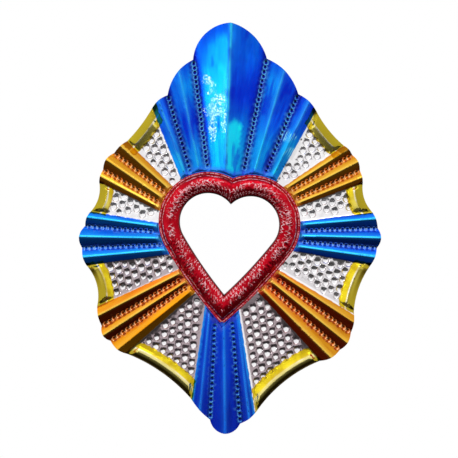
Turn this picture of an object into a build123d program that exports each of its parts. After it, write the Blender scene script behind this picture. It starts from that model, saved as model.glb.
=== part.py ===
from build123d import *
from math import acos, asin, atan2, cos, degrees, hypot, radians, sin, sqrt
import os

# A pressed-tin wall mirror. Lengths are in millimetres. The template coordinates (u, v) run right and up over the
# face, and w runs out of the sheet's back plane towards the viewer. The row frame has X right, Z up and the face
# towards -Y, with its origin on the hanging ring's straight side.
os.makedirs("parts", exist_ok=True)

# Stock
tin = 0.4
glass = 2.0
card = 1.0

# Relief of the pressed sheet
crest_pitch = 0.55
crest_limit = 4.0
valley_floor = 2.0
ridge_far = 1.25
ridge_near = 0.38
moulding_width = 8.0
moulding_rise = 2.0
moulding_crest = 0.66
moulding_bow = 0.2
low_moulding_bow = 0.85
moulding_end = 1.0
moulding_end_draft = 35.0
relief_limit = 6.0

# Punch marks of the flat fields between the rays, struck from the front
mark_radius = 2.1
mark_depth = 1.0
mark_land = 0.25
mark_pitch = 5.15
mark_row = 0.87
mark_rows = 14

# Heart, drawn about the middle of its two lobe centres
heart_u = -0.3
heart_v = 10.2
heart_tilt = 4.3
lobe_radius = 17.0
lobe_spacing = 25.7
side_radius = 263.0
shoulder_angle = 34.1
ring_width = 12.8
ring_flange = 1.6
ring_crown = 4.6
ring_tip_radius = 4.0
ring_land = 0.5
ring_land_slope = 2.0
opening_clearance = 0.1
tab_length = 3.0
tab_width = 6.0
lobe_tabs = (75.0, 5.0)
side_tabs = (0.25, 0.7)

# Mirror and tray
mirror_overlap = 4.0
mirror_chamfer = 6.0
tray_clearance = 0.5
flange_length = 22.0
flange_width = 4.0
solder_length = 8.0
solder_width = 1.6
solder_spacing = 11.0

# Hanger
hang_u = 0.0
hang_v = 66.0
wire = 1.6
wire_clearance = 0.08
wire_depth = 1.6
bridge_length = 10.0
strap_height = 9.0
strap_end = 3.5
loop_half_width = 8.0
loop_corner = 2.5
loop_leg = 4.0

# Rays of the template, clockwise from the top. Each has its rim points, the rise of the arc after each point but the
# last, the places of the valley folds among the points, the inner ends of its two edges, the depth of the hollow arc
# that leads to the next ray, the bow of the moulding along it where that differs, and how far the rows and columns of
# marks in the field before the next ray are shifted.
rays = [
    dict(
        rim=[(-46.8, 79.2), (-37.5, 87.0), (-22.2, 108.3), (0.6, 130.2), (22.2, 108.9), (41.1, 87.6), (52.2, 76.8)],
        rises=[1.0, 3.1, 6.1, 4.1, 3.1, 1.2],
        folds=(1, 2, 4, 5),
        roots=((-30.0, 37.8), (30.0, 37.5)),
        hollow=1.2,
        marks=(0.4, 0.0),
    ),
    dict(
        rim=[(68.4, 56.7), (73.5, 51.0), (78.0, 41.7), (79.8, 34.2)],
        rises=[0.6, 1.3, 0.4],
        folds=(1, 2),
        roots=((35.4, 34.2), (42.0, 20.4)),
        hollow=2.0,
        marks=(0.3, 0.5),
    ),
    dict(
        rim=[(85.2, 17.1), (88.8, 6.9), (88.2, -4.8), (84.6, -15.0)],
        rises=[0.7, 2.1, 0.7],
        folds=(1, 2),
        roots=((42.0, 11.7), (39.6, -6.6)),
        hollow=2.1,
        marks=(0.4, 0.9),
    ),
    dict(
        rim=[(74.4, -43.2), (72.6, -55.8), (66.0, -66.0), (54.0, -72.6)],
        rises=[0.8, 1.5, 1.5],
        folds=(1, 2),
        roots=((30.6, -17.1), (18.0, -33.0)),
        hollow=3.5,
        bow=low_moulding_bow,
        marks=(0.3, 0.6),
    ),
    dict(
        rim=[(16.2, -102.6), (6.0, -110.4), (-12.0, -108.0), (-23.4, -95.4)],
        rises=[0.8, 6.9, 0.6],
        folds=(1, 2),
        roots=((6.6, -41.4), (-15.6, -41.7)),
        hollow=2.8,
        bow=low_moulding_bow,
        marks=(0.4, 0.3),
    ),
    dict(
        rim=[(-61.8, -68.4), (-71.7, -60.6), (-77.1, -51.6), (-79.8, -39.6)],
        rises=[1.4, 2.2, 0.7],
        folds=(1, 2),
        roots=((-21.6, -33.0), (-33.6, -18.3)),
        hollow=3.1,
        marks=(0.3, 0.4),
    ),
    dict(
        rim=[(-86.4, -15.0), (-88.8, -4.8), (-87.0, 8.4), (-83.4, 17.4)],
        rises=[0.8, 2.6, 1.0],
        folds=(1, 2),
        roots=((-40.8, -9.0), (-44.4, 10.8)),
        hollow=2.1,
        marks=(0.3, 0.4),
    ),
    dict(
        rim=[(-78.6, 34.8), (-76.2, 42.3), (-69.6, 52.2), (-61.8, 59.4)],
        rises=[0.5, 1.8, 0.6],
        folds=(1, 2),
        roots=((-44.4, 18.3), (-36.6, 34.5)),
        hollow=0.8,
        marks=(0.4, 0.3),
    ),
]

front = Vector(0, -1, 0)


def place(point, depth=0.0):
    """Template point in the row frame."""
    return Vector(point[0] - hang_u, -depth - wire_depth, point[1] - hang_v)


def between(start, end, share):
    return (start[0] + (end[0] - start[0]) * share, start[1] + (end[1] - start[1]) * share)


def span(start, end):
    return hypot(end[0] - start[0], end[1] - start[1])


def apex(ray):
    """Point where the two edges of a ray would meet; all of its folds run to it."""
    (ax, ay), (bx, by) = ray["rim"][0], ray["rim"][-1]
    (cx, cy), (dx, dy) = ray["roots"]
    turn = (cx - ax) * (dy - by) - (cy - ay) * (dx - bx)
    share = ((bx - ax) * (dy - by) - (by - ay) * (dx - bx)) / turn
    return between((ax, ay), (cx, cy), share)


def upright(origin, along):
    """Plane that stands on the sheet, with its x along the given direction and its y towards the viewer."""
    return Plane(origin=origin, x_dir=along, z_dir=along.cross(front))


sheet_plane = Plane(origin=place((0, 0)), x_dir=(1, 0, 0), z_dir=front)
tilt = radians(heart_tilt)
heart_right = Vector(cos(tilt), 0, -sin(tilt))
heart_plane = Plane(origin=place((heart_u, heart_v)), x_dir=heart_right, z_dir=front)

lobe_u = lobe_spacing / 2
shoulder = radians(shoulder_angle)
side_u = lobe_u - (side_radius - lobe_radius) * cos(shoulder)
side_v = (side_radius - lobe_radius) * sin(shoulder)


def tip_angle(grow):
    """Angle about the side arc's centre at which the arc meets the heart's axis."""
    return -acos(-side_u / (side_radius + grow))


def cleft_angle(grow):
    """Angle about the lobe's centre at which the lobe meets the heart's axis."""
    return radians(180) - acos(lobe_u / (lobe_radius + grow))


def side_point(grow, angle):
    radius = side_radius + grow
    return (side_u + radius * cos(angle), side_v + radius * sin(angle))


def lobe_point(grow, angle):
    radius = lobe_radius + grow
    return (lobe_u + radius * cos(angle), radius * sin(angle))


def heart_face(grow, tip_round=0.0):
    """Heart moved outwards all round, drawn in the sketch that is open."""
    low, high = tip_angle(grow), cleft_angle(grow)
    tip = (0, side_point(grow, low)[1])
    cleft = (0, lobe_point(grow, high)[1])
    with BuildLine() as outline:
        ThreePointArc(tip, side_point(grow, (low - shoulder) / 2), side_point(grow, -shoulder))
        ThreePointArc(lobe_point(grow, -shoulder), lobe_point(grow, (high - shoulder) / 2), cleft)
        mirror(about=Plane.YZ)
    face = make_face(outline.edges())
    if tip_round:
        fillet(face.vertices().sort_by(Axis.Y)[0], tip_round)


def rim_face():
    """Outline of the sheet, drawn in the sketch that is open."""
    with BuildLine() as outline:
        for place_in_turn, ray in enumerate(rays):
            points = ray["rim"]
            for start, end, rise in zip(points, points[1:], ray["rises"]):
                SagittaArc(start, end, rise)
            following = rays[(place_in_turn + 1) % len(rays)]
            SagittaArc(points[-1], following["rim"][0], -ray["hollow"])
    make_face(outline.edges())


def moulding(ray, following):
    """Solid under one border moulding, along the hollow arc between two rays."""
    start, end = ray["rim"][-1], following["rim"][0]
    chord, dip = span(start, end), ray["hollow"]
    radius = (chord**2 / 4 + dip**2) / (2 * dip)
    out = ((start[1] - end[1]) / chord, (end[0] - start[0]) / chord)
    middle = between(start, end, 0.5)
    centre = (middle[0] + out[0] * (radius - dip), middle[1] + out[1] * (radius - dip))
    run_on = moulding_width / radius
    first = atan2(start[1] - centre[1], start[0] - centre[0]) - run_on
    turn = 2 * asin(chord / (2 * radius)) + 2 * run_on
    ahead = Vector(cos(first), 0, sin(first))
    with BuildPart() as bead:
        with BuildSketch(upright(place(centre), ahead)):
            with BuildLine():
                crest = moulding_width * moulding_crest
                slope = ThreePointArc(
                    (radius, 0),
                    (radius + crest / 2, moulding_rise / 2 + ray.get("bow", moulding_bow)),
                    (radius + crest, moulding_rise),
                )
                Polyline(slope @ 1, (radius + moulding_width, 0), slope @ 0)
            make_face()
        revolve(axis=Axis(place(centre), front), revolution_arc=degrees(turn))
        with BuildSketch(sheet_plane):
            reach = moulding_width * 2
            edges = ((start, ray["roots"][1]), (end, following["roots"][0]))
            shares = [reach / span(*edge) for edge in edges]
            with BuildLine():
                Polyline(
                    between(*edges[0], -shares[0]),
                    between(*edges[1], -shares[1]),
                    between(*edges[1], shares[1]),
                    between(*edges[0], shares[0]),
                    close=True,
                )
            make_face()
            offset(amount=-moulding_end, kind=Kind.INTERSECTION, mode=Mode.REPLACE)
        extrude(amount=relief_limit, taper=moulding_end_draft, mode=Mode.INTERSECT)
    return bead.part


# Mirror, card and tray lie square to the heart, behind its tabs.
mirror_half = lobe_u + lobe_radius + mirror_overlap
mirror_top = lobe_radius + mirror_overlap
mirror_low = side_point(0, tip_angle(0))[1] - mirror_overlap
mirror_height = mirror_top - mirror_low
mirror_middle = (0, (mirror_top + mirror_low) / 2)
mirror_depth = tin
card_depth = mirror_depth + glass
floor_depth = card_depth + card
tray_depth = floor_depth + tin
tray_half = mirror_half + tray_clearance + tin
tray_half_height = mirror_height / 2 + tray_clearance + tin


def heart_local(point):
    """Template point in the heart's own axes."""
    right, up = point[0] - heart_u, point[1] - heart_v
    return (right * cos(tilt) - up * sin(tilt), right * sin(tilt) + up * cos(tilt))


def outside_heart(point):
    """Distance of a template point from the heart's inner contour."""
    x, y = heart_local(point)
    if atan2(y, abs(x) - lobe_u) > -shoulder:
        return hypot(abs(x) - lobe_u, y) - lobe_radius
    return hypot(abs(x) - side_u, y - side_v) - side_radius


def off_line(point, origin, end):
    """Distance of a point to the left of the line from an origin to an end."""
    along = (end[0] - origin[0], end[1] - origin[1])
    return (along[0] * (point[1] - origin[1]) - along[1] * (point[0] - origin[0])) / hypot(*along)


def clear_of_tray(point, margin):
    """Whether a mark stays clear of the tray's walls, flanges and solder."""
    x, y = heart_local(point)
    across, along = abs(x) - tray_half - margin, abs(y - mirror_middle[1]) - tray_half_height - margin
    on_flange = flange_length / 2 + margin
    apron = flange_width + solder_width
    beside = across > (apron if abs(y - mirror_middle[1]) < on_flange else 0)
    beyond = along > (apron if abs(x) < on_flange else 0)
    return beside or beyond


def field_marks(ray, following):
    """Centres of the punch marks in the flat field between two rays, in rows that follow the hollow arc's chord."""
    start, end = ray["rim"][-1], following["rim"][0]
    chord, dip = span(start, end), ray["hollow"]
    radius = (chord**2 / 4 + dip**2) / (2 * dip)
    inward = ((end[1] - start[1]) / chord, (start[0] - end[0]) / chord)
    middle = between(start, end, 0.5)
    centre = (middle[0] - inward[0] * (radius - dip), middle[1] - inward[1] * (radius - dip))
    margin = mark_radius + mark_land
    for row in range(mark_rows):
        for column in range(-mark_rows, mark_rows + 1):
            deep = dip + (row + ray["marks"][0]) * mark_pitch * mark_row
            wide = (column + 0.5 * (row % 2) + ray["marks"][1]) * mark_pitch
            point = (
                middle[0] + inward[0] * deep - inward[1] * wide,
                middle[1] + inward[1] * deep + inward[0] * wide,
            )
            gaps = (
                -off_line(point, apex(ray), start),
                off_line(point, apex(following), end),
                span(centre, point) - radius - moulding_width,
                outside_heart(point) - ring_width,
            )
            if min(gaps) > margin and clear_of_tray(point, margin):
                yield point


# The solid that the sheet is pressed over: the rays' ridges, cut back round the heart, and the border mouldings.
mouldings = [moulding(ray, rays[(turn + 1) % len(rays)]) for turn, ray in enumerate(rays)]

with BuildPart() as relief:
    for ray in rays:
        focus = apex(ray)
        feet = [ray["rim"][0]] + [ray["rim"][fold] for fold in ray["folds"]] + [ray["rim"][-1]]
        for number, (left, right) in enumerate(zip(feet, feet[1:])):
            width = span(left, right)
            from_left = valley_floor / 2 / width if number else 0.0
            from_right = valley_floor / 2 / width if number < len(feet) - 2 else 0.0
            rise = min(crest_limit, crest_pitch * width / 2)
            gables = []
            for scale in (ridge_far, ridge_near):
                a = between(focus, between(left, right, from_left), scale)
                b = between(focus, between(left, right, 1 - from_right), scale)
                with BuildSketch(upright(place(a), place(b) - place(a)), mode=Mode.PRIVATE) as gable:
                    with BuildLine():
                        Polyline((0, 0), (span(a, b), 0), (span(a, b) / 2, rise * scale), close=True)
                    make_face()
                gables.append(gable.sketch.face())
            loft(sections=gables, ruled=True)
    with BuildSketch(heart_plane, mode=Mode.PRIVATE) as land_foot:
        heart_face(ring_width + ring_land)
    with BuildSketch(heart_plane.offset(relief_limit), mode=Mode.PRIVATE) as land_top:
        heart_face(ring_width + ring_land + relief_limit / ring_land_slope)
    loft(sections=[land_foot.sketch.face(), land_top.sketch.face()], ruled=True, mode=Mode.SUBTRACT)
    for bead in mouldings:
        add(bead)

# The punch of the flat fields: a ball's cap, with a short stub over its rim
ball = (mark_radius**2 + mark_depth**2) / (2 * mark_depth)
half_cap = asin(mark_radius / ball) / 2
with BuildPart() as punch:
    with BuildSketch(upright(place((0, 0)), Vector(1, 0, 0))):
        with BuildLine():
            Polyline((0, -mark_depth), (0, tin / 2), (mark_radius, tin / 2), (mark_radius, 0))
            ThreePointArc(
                (mark_radius, 0),
                (ball * sin(half_cap), ball - mark_depth - ball * cos(half_cap)),
                (0, -mark_depth),
            )
        make_face()
    revolve(axis=Axis(place((0, 0)), front))

strikes = []
for turn, ray in enumerate(rays):
    for point in field_marks(ray, rays[(turn + 1) % len(rays)]):
        strikes.append(punch.part.moved(Location(place(point) - place((0, 0)))))

with BuildPart() as face_sheet:
    with BuildSketch(sheet_plane, mode=Mode.PRIVATE) as blank:
        rim_face()
    extrude(blank.sketch, amount=tin)
    add(relief.part.moved(Location(front * tin)))
    add(relief.part, mode=Mode.SUBTRACT)
    extrude(blank.sketch, amount=relief_limit, mode=Mode.INTERSECT)
    with BuildSketch(heart_plane):
        heart_face(tin + opening_clearance)
    extrude(amount=tin, mode=Mode.SUBTRACT)
    add(strikes)
    add([strike.moved(Location(front * tin)) for strike in strikes], mode=Mode.SUBTRACT)

face_sheet.part.label = "face_sheet"
export_step(face_sheet.part, "parts/face_sheet.step")


def across(centre, angle):
    """Plane across the heart's band at an angle about one of its arc centres, x outwards and y to the viewer."""
    out = heart_right * cos(angle) + front.cross(heart_right) * sin(angle)
    return upright(heart_plane.from_local_coords(Vector(*centre, 0)), out)


def about(centre):
    return Axis(heart_plane.from_local_coords(Vector(*centre, 0)), front)


lobe_centre = (lobe_u, 0)
side_centre = (side_u, side_v)
axis_overrun = radians(4)
side_first = tip_angle(ring_width) - axis_overrun / 4
band_arcs = [
    (lobe_centre, lobe_radius, -shoulder, cleft_angle(0) + axis_overrun + shoulder),
    (side_centre, side_radius, side_first, -shoulder - side_first),
]
tab_arcs = []
for angle in lobe_tabs:
    turn = tab_width / lobe_radius
    tab_arcs.append((lobe_centre, lobe_radius, radians(angle) - turn / 2, turn))
for share in side_tabs:
    turn = tab_width / side_radius
    angle = tip_angle(0) + (-shoulder - tip_angle(0)) * share
    tab_arcs.append((side_centre, side_radius, angle - turn / 2, turn))

# The heart's band: a half-round strip with an outer flange on the sheet, an inner skirt through the sheet's opening
# and tabs folded out behind the sheet.
with BuildPart() as heart_frame:
    for centre, radius, first, turn in band_arcs:
        arch_end = radius + ring_width - ring_flange
        arch_middle = radius + (ring_width - ring_flange) / 2
        with BuildSketch(across(centre, first)):
            with BuildLine():
                Polyline(
                    (arch_end - tin, tin),
                    (radius + ring_width, tin),
                    (radius + ring_width, 2 * tin),
                    (arch_end, 2 * tin),
                )
                ThreePointArc((arch_end, 2 * tin), (arch_middle, ring_crown), (radius, 2 * tin))
                Polyline((radius, 2 * tin), (radius, -tin), (radius + tin, -tin), (radius + tin, 2 * tin))
                ThreePointArc((radius + tin, 2 * tin), (arch_middle, ring_crown - tin), (arch_end - tin, tin))
            make_face()
        revolve(axis=about(centre), revolution_arc=degrees(turn))
    for centre, radius, first, turn in tab_arcs:
        with BuildSketch(across(centre, first)):
            with BuildLine():
                Polyline(
                    (radius, -tin),
                    (radius + tab_length, -tin),
                    (radius + tab_length, 0),
                    (radius, 0),
                    close=True,
                )
            make_face()
        revolve(axis=about(centre), revolution_arc=degrees(turn))
    middle = Plane(origin=heart_plane.origin, x_dir=front, z_dir=heart_right)
    split(bisect_by=middle, keep=Keep.TOP)
    mirror(about=middle)
    with BuildSketch(heart_plane.offset(-tin)):
        heart_face(ring_width, ring_tip_radius)
    extrude(amount=tin + relief_limit, mode=Mode.INTERSECT)

heart_frame.part.label = "heart_frame"
export_step(heart_frame.part, "parts/heart_frame.step")

with BuildPart() as glass_plate:
    with BuildSketch(heart_plane.offset(-mirror_depth)):
        with Locations(mirror_middle):
            plate = Rectangle(2 * mirror_half, mirror_height)
        chamfer(plate.vertices(), mirror_chamfer)
    extrude(amount=-glass)

glass_plate.part.label = "mirror"
export_step(glass_plate.part, "parts/mirror.step")

with BuildPart() as backing_card:
    with BuildSketch(heart_plane.offset(-card_depth)):
        with Locations(mirror_middle):
            plate = Rectangle(2 * mirror_half, mirror_height)
        chamfer(plate.vertices(), mirror_chamfer)
    extrude(amount=-card)

backing_card.part.label = "backing_card"
export_step(backing_card.part, "parts/backing_card.step")

with BuildPart() as back_tray:
    with BuildSketch(heart_plane):
        with Locations(mirror_middle):
            Rectangle(2 * tray_half, 2 * tray_half_height)
    extrude(amount=-tray_depth)
    with BuildSketch(heart_plane):
        with Locations(mirror_middle):
            Rectangle(2 * tray_half - 2 * tin, 2 * tray_half_height - 2 * tin)
    extrude(amount=-floor_depth, mode=Mode.SUBTRACT)
    with BuildSketch(heart_plane):
        for side in (-1, 1):
            with Locations((side * (tray_half + flange_width / 2), mirror_middle[1])):
                Rectangle(flange_width, flange_length)
            with Locations((0, mirror_middle[1] + side * (tray_half_height + flange_width / 2))):
                Rectangle(flange_length, flange_width)
    extrude(amount=-tin)

back_tray.part.label = "back_tray"
export_step(back_tray.part, "parts/back_tray.step")

with BuildPart() as tray_solder:
    with BuildSketch(heart_plane):
        out_u = tray_half + flange_width + solder_width / 2
        out_v = tray_half_height + flange_width + solder_width / 2
        for side in (-1, 1):
            for end in (-0.5, 0.5):
                with Locations((side * out_u, mirror_middle[1] + end * solder_spacing)):
                    Rectangle(solder_width, solder_length)
                with Locations((end * solder_spacing, mirror_middle[1] + side * out_v)):
                    Rectangle(solder_length, solder_width)
    extrude(amount=-tin)

tray_solder.part.label = "tray_solder"
export_step(tray_solder.part, "parts/tray_solder.step")

# Hanger: a strip across the two inner valleys of the top ray, with a lanced bridge over the ring's straight side.
fan = rays[0]
fan_focus = apex(fan)
inner_folds = [fan["rim"][fold] for fold in fan["folds"][1:3]]


def valley_at(fold, height):
    """Point of a valley of the top ray at a height of the template."""
    return between(fan_focus, fold, (height - fan_focus[1]) / (fold[1] - fan_focus[1]))


strap_left, strap_right = [valley_at(fold, hang_v)[0] for fold in inner_folds]
strap_length = strap_right - strap_left + 2 * strap_end
bridge_inner = wire / 2 + wire_clearance
bridge_outer = bridge_inner + tin

with BuildPart() as hanger_strap:
    with BuildSketch(sheet_plane):
        with Locations(((strap_left + strap_right) / 2, hang_v)):
            Rectangle(strap_length, strap_height)
        with Locations((hang_u, hang_v)):
            Rectangle(bridge_length, 2 * bridge_inner, mode=Mode.SUBTRACT)
    extrude(amount=-tin)
    with BuildSketch(Plane.YZ.offset(-bridge_length / 2)):
        with BuildLine():
            Line((-wire_depth, bridge_outer), (0, bridge_outer))
            ThreePointArc((0, bridge_outer), (bridge_outer, 0), (0, -bridge_outer))
            Polyline(
                (0, -bridge_outer),
                (-wire_depth, -bridge_outer),
                (-wire_depth, -bridge_inner),
                (0, -bridge_inner),
            )
            ThreePointArc((0, -bridge_inner), (bridge_inner, 0), (0, bridge_inner))
            Polyline((0, bridge_inner), (-wire_depth, bridge_inner), (-wire_depth, bridge_outer))
        make_face()
    extrude(amount=bridge_length)

hanger_strap.part.label = "hanger_strap"
export_step(hanger_strap.part, "parts/hanger_strap.step")

with BuildPart() as strap_solder:
    with BuildSketch(sheet_plane):
        for fold in inner_folds:
            for side in (-1, 1):
                height = hang_v + side * (strap_height + solder_width) / 2
                with Locations(valley_at(fold, height)):
                    Rectangle(2 * solder_width, solder_width)
    extrude(amount=-tin)

strap_solder.part.label = "strap_solder"
export_step(strap_solder.part, "parts/strap_solder.step")

with BuildPart() as hanger_ring:
    flat = loop_half_width - loop_corner
    bend = loop_corner * (1 - sqrt(0.5))
    with BuildLine(Plane.XZ) as loop:
        Line((-flat, 0), (flat, 0))
        ThreePointArc((flat, 0), (loop_half_width - bend, -bend), (loop_half_width, -loop_corner))
        Line((loop_half_width, -loop_corner), (loop_half_width, -loop_leg))
        ThreePointArc(
            (loop_half_width, -loop_leg),
            (0, -loop_leg - loop_half_width),
            (-loop_half_width, -loop_leg),
        )
        Line((-loop_half_width, -loop_leg), (-loop_half_width, -loop_corner))
        ThreePointArc((-loop_half_width, -loop_corner), (bend - loop_half_width, -bend), (-flat, 0))
    with BuildSketch(Plane.YZ.offset(-flat)):
        Circle(wire / 2)
    sweep(path=loop.wire())

hanger_ring.part.label = "hanger_ring"
export_step(hanger_ring.part, "parts/hanger_ring.step")
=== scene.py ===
import math

import bpy
import numpy as np
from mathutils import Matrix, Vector, geometry
from numpy.linalg import norm


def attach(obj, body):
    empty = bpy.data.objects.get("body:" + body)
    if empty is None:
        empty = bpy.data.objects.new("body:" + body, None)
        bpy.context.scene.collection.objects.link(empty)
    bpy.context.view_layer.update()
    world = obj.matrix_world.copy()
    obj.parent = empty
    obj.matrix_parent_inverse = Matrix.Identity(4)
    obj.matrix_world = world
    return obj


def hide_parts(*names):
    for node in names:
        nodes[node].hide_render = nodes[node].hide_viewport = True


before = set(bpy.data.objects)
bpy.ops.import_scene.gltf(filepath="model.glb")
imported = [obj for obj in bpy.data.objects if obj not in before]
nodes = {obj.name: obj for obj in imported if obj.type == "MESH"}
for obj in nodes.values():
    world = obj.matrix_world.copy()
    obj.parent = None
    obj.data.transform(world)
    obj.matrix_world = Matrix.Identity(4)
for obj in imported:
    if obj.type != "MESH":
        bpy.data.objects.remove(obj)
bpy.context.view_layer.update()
rng = np.random.default_rng(7)
NOWHERE = -99.0

# Template of the pressed sheet, in millimetres: u right, v up, w to the viewer from the sheet's back plane
TIN, MM = 0.4, 0.001
HANG_V, HANG_DEPTH = 66.0, 1.6
CREST_PITCH, CREST_LIMIT, CREST_SOFT, VALLEY, ROOT_SLOPE = 0.55, 4.0, 0.9, 2.0, 2.0
BAND, BAND_RISE, BAND_BOW, LOW_BOW, BAND_END = 8.0, 2.0, 0.2, 0.85, 1.0
BAND_CREST, BAND_DRAFT, BAND_ROUND, BAND_FOOT = 0.66 * BAND, math.radians(35), 0.9, BAND + 1.3
BAND_FALL, BAND_PAST = 1.6, 1.6 * BAND
MARK_R, MARK_DEPTH, MARK_PITCH, MARK_ROW = 2.1, 1.0, 5.15, 0.87
HEART_U, HEART_V, HEART_TILT = -0.3, 10.2, math.radians(4.3)
TILT_COS, TILT_SIN = math.cos(HEART_TILT), math.sin(HEART_TILT)
LOBE_R, LOBE_U, SIDE_R, SHOULDER = 17.0, 12.85, 263.0, math.radians(34.1)
RING_W, RING_FLANGE, RING_CROWN, RING_LAND = 12.8, 1.6, 4.6, 0.5
SIDE_U = LOBE_U - (SIDE_R - LOBE_R) * math.cos(SHOULDER)
SIDE_V = (SIDE_R - LOBE_R) * math.sin(SHOULDER)

CYAN, BLUE, ROYAL = (0.004, 0.44, 0.90), (0.002, 0.16, 0.78), (0.002, 0.105, 0.72)
DEEP, NAVY = (0.001, 0.045, 0.66), (0.001, 0.022, 0.42)
GOLD, AMBER, RUST = (0.69, 0.315, 0.010), (0.84, 0.34, 0.007), (0.84, 0.15, 0.004)
# Paler tints for the crests: lacquer rubbed thin, and painted highlight
PALE_BLUE, PALE_GOLD, PALE_NAVY = (0.04, 0.55, 1.0), (1.0, 0.68, 0.10), (0.02, 0.27, 0.95)
# Multipliers of a ray's colour on its slopes facing down: painted light above 1, painted shade below 1
PLAIN, UNDER_LIGHT_WARM, UNDER_LIGHT = (1, 1, 1), (1.3, 1.0, 1.0), (1.2, 1.3, 1.25)
UNDER_SHADE, UNDER_DEEP_SHADE = (0.95, 0.22, 0.3), (0.50, 0.15, 0.25)

# Each ray, clockwise from the top: rim points, rises of its lobes, valley places, inner ends of its edges, depth
# of the hollow after it, shifts of the rows and columns of marks there, how far the lacquer stops short of each
# edge, its outer and inner colour, width of the next yellow border, and painted shade and light on slopes facing
# down
RAYS = [
    ([(-46.8, 79.2), (-37.5, 87.0), (-22.2, 108.3), (0.6, 130.2), (22.2, 108.9), (41.1, 87.6), (52.2, 76.8)],
     [1.0, 3.1, 6.1, 4.1, 3.1, 1.2], (1, 2, 4, 5), ((-30.0, 37.8), (30.0, 37.5)), 1.2, (0.4, 0.0),
     (0.0, 0.8), BLUE, CYAN, 9.6, PLAIN),
    ([(68.4, 56.7), (73.5, 51.0), (78.0, 41.7), (79.8, 34.2)],
     [0.6, 1.3, 0.4], (1, 2), ((35.4, 34.2), (42.0, 20.4)), 2.0, (0.3, 0.5),
     (0.0, 0.0), GOLD, GOLD, 10.0, UNDER_LIGHT_WARM),
    ([(85.2, 17.1), (88.8, 6.9), (88.2, -4.8), (84.6, -15.0)],
     [0.7, 2.1, 0.7], (1, 2), ((42.0, 11.7), (39.6, -6.6)), 2.1, (0.4, 0.9),
     (0.5, -0.3), ROYAL, ROYAL, 9.8, UNDER_LIGHT),
    ([(74.4, -43.2), (72.6, -55.8), (66.0, -66.0), (54.0, -72.6)],
     [0.8, 1.5, 1.5], (1, 2), ((30.6, -17.1), (18.0, -33.0)), 3.5, (0.3, 0.6),
     (1.4, 0.4), GOLD, RUST, 10.4, UNDER_SHADE),
    ([(16.2, -102.6), (6.0, -110.4), (-12.0, -108.0), (-23.4, -95.4)],
     [0.8, 6.9, 0.6], (1, 2), ((6.6, -41.4), (-15.6, -41.7)), 2.8, (0.4, 0.3),
     (1.3, 0.2), NAVY, DEEP, 9.8, PLAIN),
    ([(-61.8, -68.4), (-71.7, -60.6), (-77.1, -51.6), (-79.8, -39.6)],
     [1.4, 2.2, 0.7], (1, 2), ((-21.6, -33.0), (-33.6, -18.3)), 3.1, (0.3, 0.4),
     (0.6, 0.4), AMBER, RUST, 9.4, UNDER_DEEP_SHADE),
    ([(-86.4, -15.0), (-88.8, -4.8), (-87.0, 8.4), (-83.4, 17.4)],
     [0.8, 2.6, 1.0], (1, 2), ((-40.8, -9.0), (-44.4, 10.8)), 2.1, (0.3, 0.4),
     (-0.3, 0.2), BLUE, BLUE, 8.4, UNDER_LIGHT),
    ([(-78.6, 34.8), (-76.2, 42.3), (-69.6, 52.2), (-61.8, 59.4)],
     [0.5, 1.8, 0.6], (1, 2), ((-44.4, 18.3), (-36.6, 34.5)), 0.8, (0.4, 0.3),
     (0.0, 0.0), GOLD, GOLD, 9.6, UNDER_LIGHT_WARM),
]


def ease(x, lo, hi):
    t = np.clip((x - lo) / (hi - lo), 0, 1)
    return t * t * (3 - 2 * t)


def blend(a, b, share):
    """From a to b by a share."""
    return np.asarray(a) * (1 - share) + np.asarray(b) * share


def cross(a, b):
    return a[..., 0] * b[..., 1] - a[..., 1] * b[..., 0]


def row(p):
    """Template points (u, v, w) in the row frame, in metres."""
    return np.stack([p[:, 0], -p[:, 2] - HANG_DEPTH, p[:, 1] - HANG_V], 1) * MM


def arc(start, end, rise, step):
    """Points of an arc from start, without its end, that bulges to the left of its way by the rise."""
    a, b = np.array(start), np.array(end)
    chord = norm(b - a)
    along, left = (b - a) / chord, np.array([a[1] - b[1], b[0] - a[0]]) / chord
    r = abs((chord**2 / 4 + rise**2) / (2 * rise))
    half = 2 * math.atan(2 * abs(rise) / chord)
    n = max(2, round(r * 2 * half / step))
    t = np.linspace(-half, half, n + 1)[:-1]
    bulge = left * np.sign(rise)
    return (a + b) / 2 + np.outer(np.sin(t) * r, along) + np.outer(np.cos(t) * r - (r - abs(rise)), bulge)


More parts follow.
